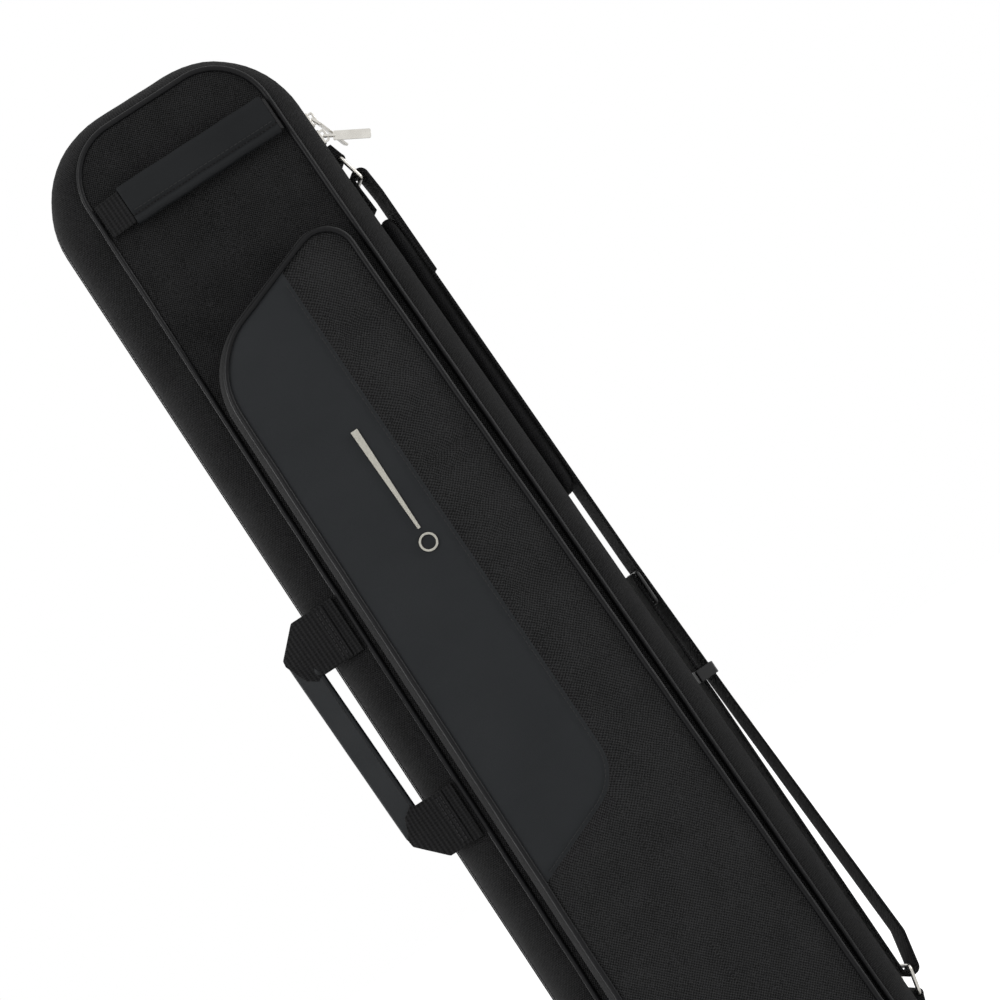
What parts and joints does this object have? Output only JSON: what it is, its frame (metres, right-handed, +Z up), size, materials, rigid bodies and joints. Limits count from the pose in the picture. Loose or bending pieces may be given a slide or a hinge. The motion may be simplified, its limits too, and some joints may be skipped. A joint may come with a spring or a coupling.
{
  "type": "cue case",
  "caption": "Soft upright billiard-cue case with a zipped hinged lid, slant-topped front pocket, grab and side carry handles and a padded shoulder strap.",
  "frame": {"origin": "middle of the back half's flat base, on the floor", "axes": "+Z up along the case's length, -Y the front with the pocket, +X the hinge side with the shoulder strap"},
  "size_m": [0.2348, 0.1066, 0.835],
  "materials": {
    "nylon": "woven nylon over foam",
    "ballistic": "coarse ballistic weave",
    "leatherette": "smooth grained leatherette",
    "piping": "soft gloss cord",
    "zip_tape": "woven tape",
    "coil": "moulded coil",
    "foam": "flocked foam",
    "webbing": "woven webbing",
    "pad_cloth": "padded mesh cloth",
    "mesh": "open mesh",
    "nickel": "satin nickel",
    "moulded": "moulded nylon",
    "thread": "embroidery"
  },
  "bodies": {
    "back_half": {"back_gusset": "nylon", "back_panel": "nylon", "back_piping": "piping", "back_zip_tape": "zip_tape", "back_zip_coil": "coil", "zip_end_lower": "zip_tape", "zip_end_upper": "zip_tape", "hinge_strip": "nylon", "cue_tray": "foam", "hold_down_bands": "webbing", "strap_tab_upper": "webbing", "strap_tab_lower": "webbing", "strap_upper_fold": "webbing", "strap_webbing": "webbing", "strap_adjuster": "moulded"},
    "lid": {"front_gusset": "nylon", "front_panel": "nylon", "front_piping": "piping", "lid_zip_tape": "zip_tape", "lid_zip_coil": "coil", "mesh_pocket": "mesh", "mesh_binding": "webbing", "pocket_zip_base": "zip_tape", "pocket_hinge_strip": "zip_tape", "pocket_zip_end": "zip_tape", "grab_ends": "webbing"},
    "pocket_flap": {"pocket_zip_flap": "zip_tape", "pocket_gusset": "nylon", "pocket_smooth_panel": "leatherette", "pocket_nylon_panel": "ballistic", "pocket_piping": "piping", "emblem": "thread"},
    "grab_handle": {"grab_wrap": "leatherette", "grab_core": "webbing"},
    "side_handle": {"handle_webbing": "webbing", "handle_grip": "leatherette"},
    "ring_upper": {"strap_ring_upper": "nickel"},
    "ring_lower": {"strap_ring_lower": "nickel"},
    "pad": {"strap_pad": "pad_cloth"},
    "keeper": {"strap_keeper": "moulded"},
    "slider_lower_main": {"lower_main_slider": "nickel"},
    "slider_upper_main": {"upper_main_slider": "nickel"},
    "pull_lower_main": {"lower_main_pull": "nickel"},
    "pull_upper_main": {"upper_main_pull": "nickel"},
    "slider_pocket_side": {"pocket_side_slider": "nickel"},
    "pull_pocket_side": {"pocket_side_pull": "nickel"},
    "slider_pocket_base": {"pocket_base_slider": "nickel"},
    "pull_pocket_base": {"pocket_base_pull": "nickel"}
  },
  "joints": [
    {"name": "lid_hinge", "type": "hinge", "parent": "back_half", "child": "lid", "pos_m": [0.096, -0.02815, 0], "axis": [-0.0114, 0, 0.9999], "range_deg": [0, 115]},
    {"name": "pocket_hinge", "type": "hinge", "parent": "lid", "child": "pocket_flap", "pos_m": [0.072, -0.06215, 0.007], "axis": [-0.0154, 0, 0.9999], "range_deg": [0, 90]},
    {"name": "grab_handle_swing", "type": "hinge", "parent": "lid", "child": "grab_handle", "pos_m": [0, -0.061, 0.7855], "axis": [1, 0, 0], "range_deg": [-40, 0]},
    {"name": "side_handle_swing", "type": "hinge", "parent": "lid", "child": "side_handle", "pos_m": [-0.07271, -0.052, 0.417], "axis": [0.02, 0, 0.9998], "range_deg": [0, 50]},
    {"name": "ring_upper_swing", "type": "hinge", "parent": "back_half", "child": "ring_upper", "pos_m": [0.09107, -0.002, 0.732], "axis": [0, 1, 0], "range_deg": [-5, 5]},
    {"name": "ring_lower_swing", "type": "hinge", "parent": "back_half", "child": "ring_lower", "pos_m": [0.09913, -0.002, 0.094], "axis": [0, 1, 0], "range_deg": [-5, 5]},
    {"name": "pad_slide", "type": "slide", "parent": "back_half", "child": "pad", "axis": [0.0114, 0, -0.9999], "range_m": [0, 0.045]},
    {"name": "keeper_slide", "type": "slide", "parent": "back_half", "child": "keeper", "axis": [-0.0114, 0, 0.9999], "range_m": [-0.006, 0.04]},
    {"name": "lower_main_slide", "type": "slide", "parent": "back_half", "child": "slider_lower_main", "axis": [-0.0114, 0, 0.9999], "range_m": [0, 0.006]},
    {"name": "upper_main_slide", "type": "slide", "parent": "slider_lower_main", "child": "slider_upper_main", "axis": [-0.0114, 0, 0.9999], "range_m": [0, 0.008]},
    {"name": "lower_main_pull_swing", "type": "hinge", "parent": "slider_lower_main", "child": "pull_lower_main", "pos_m": [0.09057, -0.019, 0.75004], "axis": [0, 1, 0], "range_deg": [-5, 25]},
    {"name": "upper_main_pull_swing", "type": "hinge", "parent": "slider_upper_main", "child": "pull_upper_main", "pos_m": [0.09042, -0.019, 0.76304], "axis": [0, 1, 0], "range_deg": [-120, 2]},
    {"name": "pocket_side_slide", "type": "slide", "parent": "lid", "child": "slider_pocket_side", "axis": [-0.0154, 0, 0.9999], "range_m": [0, 0.03]},
    {"name": "pocket_side_pull_swing", "type": "hinge", "parent": "slider_pocket_side", "child": "pull_pocket_side", "pos_m": [0.07459, -0.058, 0.04006], "axis": [0, 1, 0], "range_deg": [-85, 30]},
    {"name": "pocket_base_slide", "type": "slide", "parent": "lid", "child": "slider_pocket_base", "axis": [-1, 0, 0], "range_m": [0, 0.076]},
    {"name": "pocket_base_pull_swing", "type": "hinge", "parent": "slider_pocket_base", "child": "pull_pocket_base", "pos_m": [0.04, -0.058, 0.0039], "axis": [0, 1, 0], "range_deg": [0, 120]}
  ]
}
